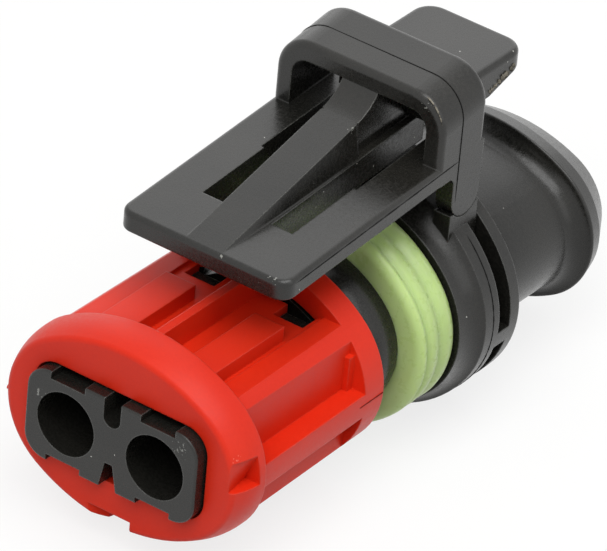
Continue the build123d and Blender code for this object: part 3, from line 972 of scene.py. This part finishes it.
@dataclass
class FlangeMarks:
    """The seam round the rim of the flange's front plate. Sizes in millimetres."""

    # Finish of the seam, near black: painted shade of its fine groove
    seam: bpy.types.Material
    half_width: float = 8.41
    half_height: float = 7.51
    back: float = 23.65
    line: float = 0.03
    swell: float = 0.3
    points: int = 160
    top: float = 5.2
    bottom: float = -7.2

    def build(self) -> None:
        """Lays the seam down each side, from the leg to the underside."""
        ring = oval_ring(self.half_width, self.half_height, self.points)
        for side in Side:
            places = [p for p in ring if p[0] * side.value > 0 and self.bottom < p[1] < self.top]
            places.sort(key=lambda p: -p[1])
            seam = lay_line([(across, self.back, up) for across, up in places], self.line, swell=self.swell)
            settle(seam, f"flange_seam_{side.name.lower()}", self.seam, Body.HOUSING)


@dataclass(frozen=True)
class Lamp:
    """A soft square lamp: its place from the plug's middle and its side in metres, its power in watts."""

    name: str
    place: Point
    size: float
    watts: float
    mirrored: bool = True

    def hang(self) -> None:
        """Hangs the lamp and aims it at the middle of the plug."""
        middle = (CAD_BOX[0] + CAD_BOX[1]) / 2
        data = bpy.data.lights.new(self.name, "AREA")
        data.shape = "SQUARE"
        data.size = self.size
        data.energy = self.watts
        lamp = bpy.data.objects.new(self.name, data)
        lamp.location = middle + Vector(self.place)
        lamp.rotation_mode = "QUATERNION"
        lamp.rotation_quaternion = Vector(self.place).to_track_quat("Z", "Y")
        lamp.visible_glossy = self.mirrored
        bpy.context.scene.collection.objects.link(lamp)


@dataclass
class Studio:
    """Pale floor, soft light and the photograph's camera."""

    azimuth: float = 33.681
    elevation: float = 32.515
    roll: float = 5.299
    distance_mm: float = 426.923
    focal_pixels: float = 8000.0
    origin_pixel: Pair = (109.639, 446.196)
    sensor_mm: float = 36.0
    clip: Span = (0.01, 10.0)
    floor_size: float = 3.0
    world_level: float = 0.32
    floor_white: float = 0.8
    floor_seen: str = "#ebebe9"
    floor_lit: str = "#bebebc"
    # The front lamp only fills: glossy surfaces don't show it
    lamps: tuple[Lamp, ...] = (
        Lamp("overhead_lamp", (0.22, -0.06, 0.6), 0.5, 2.45),
        Lamp("rear_lamp", (-0.33, 0.5, 0.38), 0.7, 1.0),
        Lamp("right_lamp", (0.6, 0.05, 0.3), 0.4, 0.3),
        Lamp("front_lamp", (0.12, -0.4, 0.52), 0.4, 2.6, mirrored=False),
    )

    def camera(self) -> None:
        """Places the camera so that the origin falls on its pixel of the photograph."""
        turn, tilt, lean = (math.radians(a) for a in (self.azimuth, self.elevation, self.roll))
        back = Vector((math.sin(turn) * math.cos(tilt), -math.cos(turn) * math.cos(tilt), math.sin(tilt)))
        level = Vector((math.cos(turn), math.sin(turn), 0.0))
        upright = back.cross(level)
        right = math.cos(lean) * level + math.sin(lean) * upright
        up = math.cos(lean) * upright - math.sin(lean) * level
        across = (self.origin_pixel[0] - PHOTO_WIDTH / 2) / self.focal_pixels
        above = (PHOTO_HEIGHT / 2 - self.origin_pixel[1]) / self.focal_pixels
        place = (back - across * right - above * up) * self.distance_mm * MM
        data = bpy.data.cameras.new("photo_camera")
        data.sensor_width = self.sensor_mm
        data.sensor_fit = "HORIZONTAL"
        data.lens = self.focal_pixels / PHOTO_WIDTH * self.sensor_mm
        data.clip_start, data.clip_end = self.clip
        camera = bpy.data.objects.new("photo_camera", data)
        camera.matrix_world = Matrix((right, up, back)).transposed().to_4x4()
        camera.location = place
        bpy.context.scene.collection.objects.link(camera)
        bpy.context.scene.camera = camera

    def seen(self, tree: Tree) -> Socket:
        """One for rays from the camera, a mirror or a lens, nought for the light that falls on things.

        Args:
            tree: node tree of the floor or the world.

        Returns:
            The share's socket.
        """
        rays = add_node(tree, "ShaderNodeLightPath", {}).outputs
        direct = combine(tree, Step.LARGER, rays["Is Camera Ray"], rays["Is Glossy Ray"])
        return combine(tree, Step.LARGER, direct, rays["Is Transmission Ray"])

    def floor(self) -> None:
        """Lays the pale floor under the plug's lowest point."""
        deselect_all()
        bpy.ops.mesh.primitive_plane_add(size=self.floor_size, location=(0, 0, CAD_BOX[0].z))
        floor = bpy.context.object
        floor.name = "floor"
        material, tree, output = new_material("pale_floor")
        seen = self.seen(tree)
        share = combine(tree, Step.MULTIPLY, seen, self.floor_white)
        tone = mix(tree, seen, linear(self.floor_lit), linear(self.floor_seen))
        lit = add_node(tree, "ShaderNodeBsdfDiffuse", {"Color": tone})
        white = add_node(tree, "ShaderNodeEmission", {"Color": WHITE, "Strength": FULL})
        shader = add_node(
            tree, "ShaderNodeMixShader", {0: share, 1: lit.outputs["BSDF"], 2: white.outputs["Emission"]}
        )
        tree.links.new(shader.outputs["Shader"], output.inputs["Surface"])
        floor.data.materials.append(material)

    def world(self) -> None:
        """White surroundings: full white where they are seen, an even soft light elsewhere."""
        world = bpy.data.worlds.new("white_room")
        world.use_nodes = True
        tree = world.node_tree
        tree.nodes.clear()
        level = stretch(tree, self.seen(tree), UNIT_SPAN, (self.world_level, FULL))
        light = add_node(tree, "ShaderNodeBackground", {"Color": WHITE, "Strength": level})
        output = tree.nodes.new("ShaderNodeOutputWorld")
        tree.links.new(light.outputs["Background"], output.inputs["Surface"])
        bpy.context.scene.world = world

    def light(self) -> None:
        """Hangs the lamps: overhead at the right, behind at the left, at the right and in front."""
        for lamp in self.lamps:
            lamp.hang()


def main() -> None:
    """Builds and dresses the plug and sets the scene."""
    logging.basicConfig(level=logging.INFO, format="%(name)s: %(message)s")
    bpy.context.scene.view_settings.view_transform = "Standard"
    studio = Studio()
    studio.camera()
    black = HOUSING_BLACK.build()
    rubbed = LATCH_BLACK.build()
    seam = SEAM_SHADE_BLACK.build()
    red = LOCK_RED.build()
    green = SEAL_GREEN.build()
    tinned = CONTACT_TIN.build()
    steel = SPRING_STEEL.build()
    Mouldings(
        {
            "housing": black,
            "latch_lever": rubbed,
            "secondary_lock": red,
            "interface_seal": green,
            "wire_seal_left": green,
            "wire_seal_right": green,
            "contact_left": tinned,
            "contact_right": tinned,
            "contact_spring_left": steel,
            "contact_spring_right": steel,
        }
    ).dress()
    RingSeal(green).build()
    LatchMarks(seam, TORN_BLACK.build()).build()
    LockMarks(red, SEAM_SHADE_RED.build()).build()
    FlangeMarks(seam).build()
    studio.floor()
    studio.world()
    studio.light()


if __name__ == "__main__":
    main()
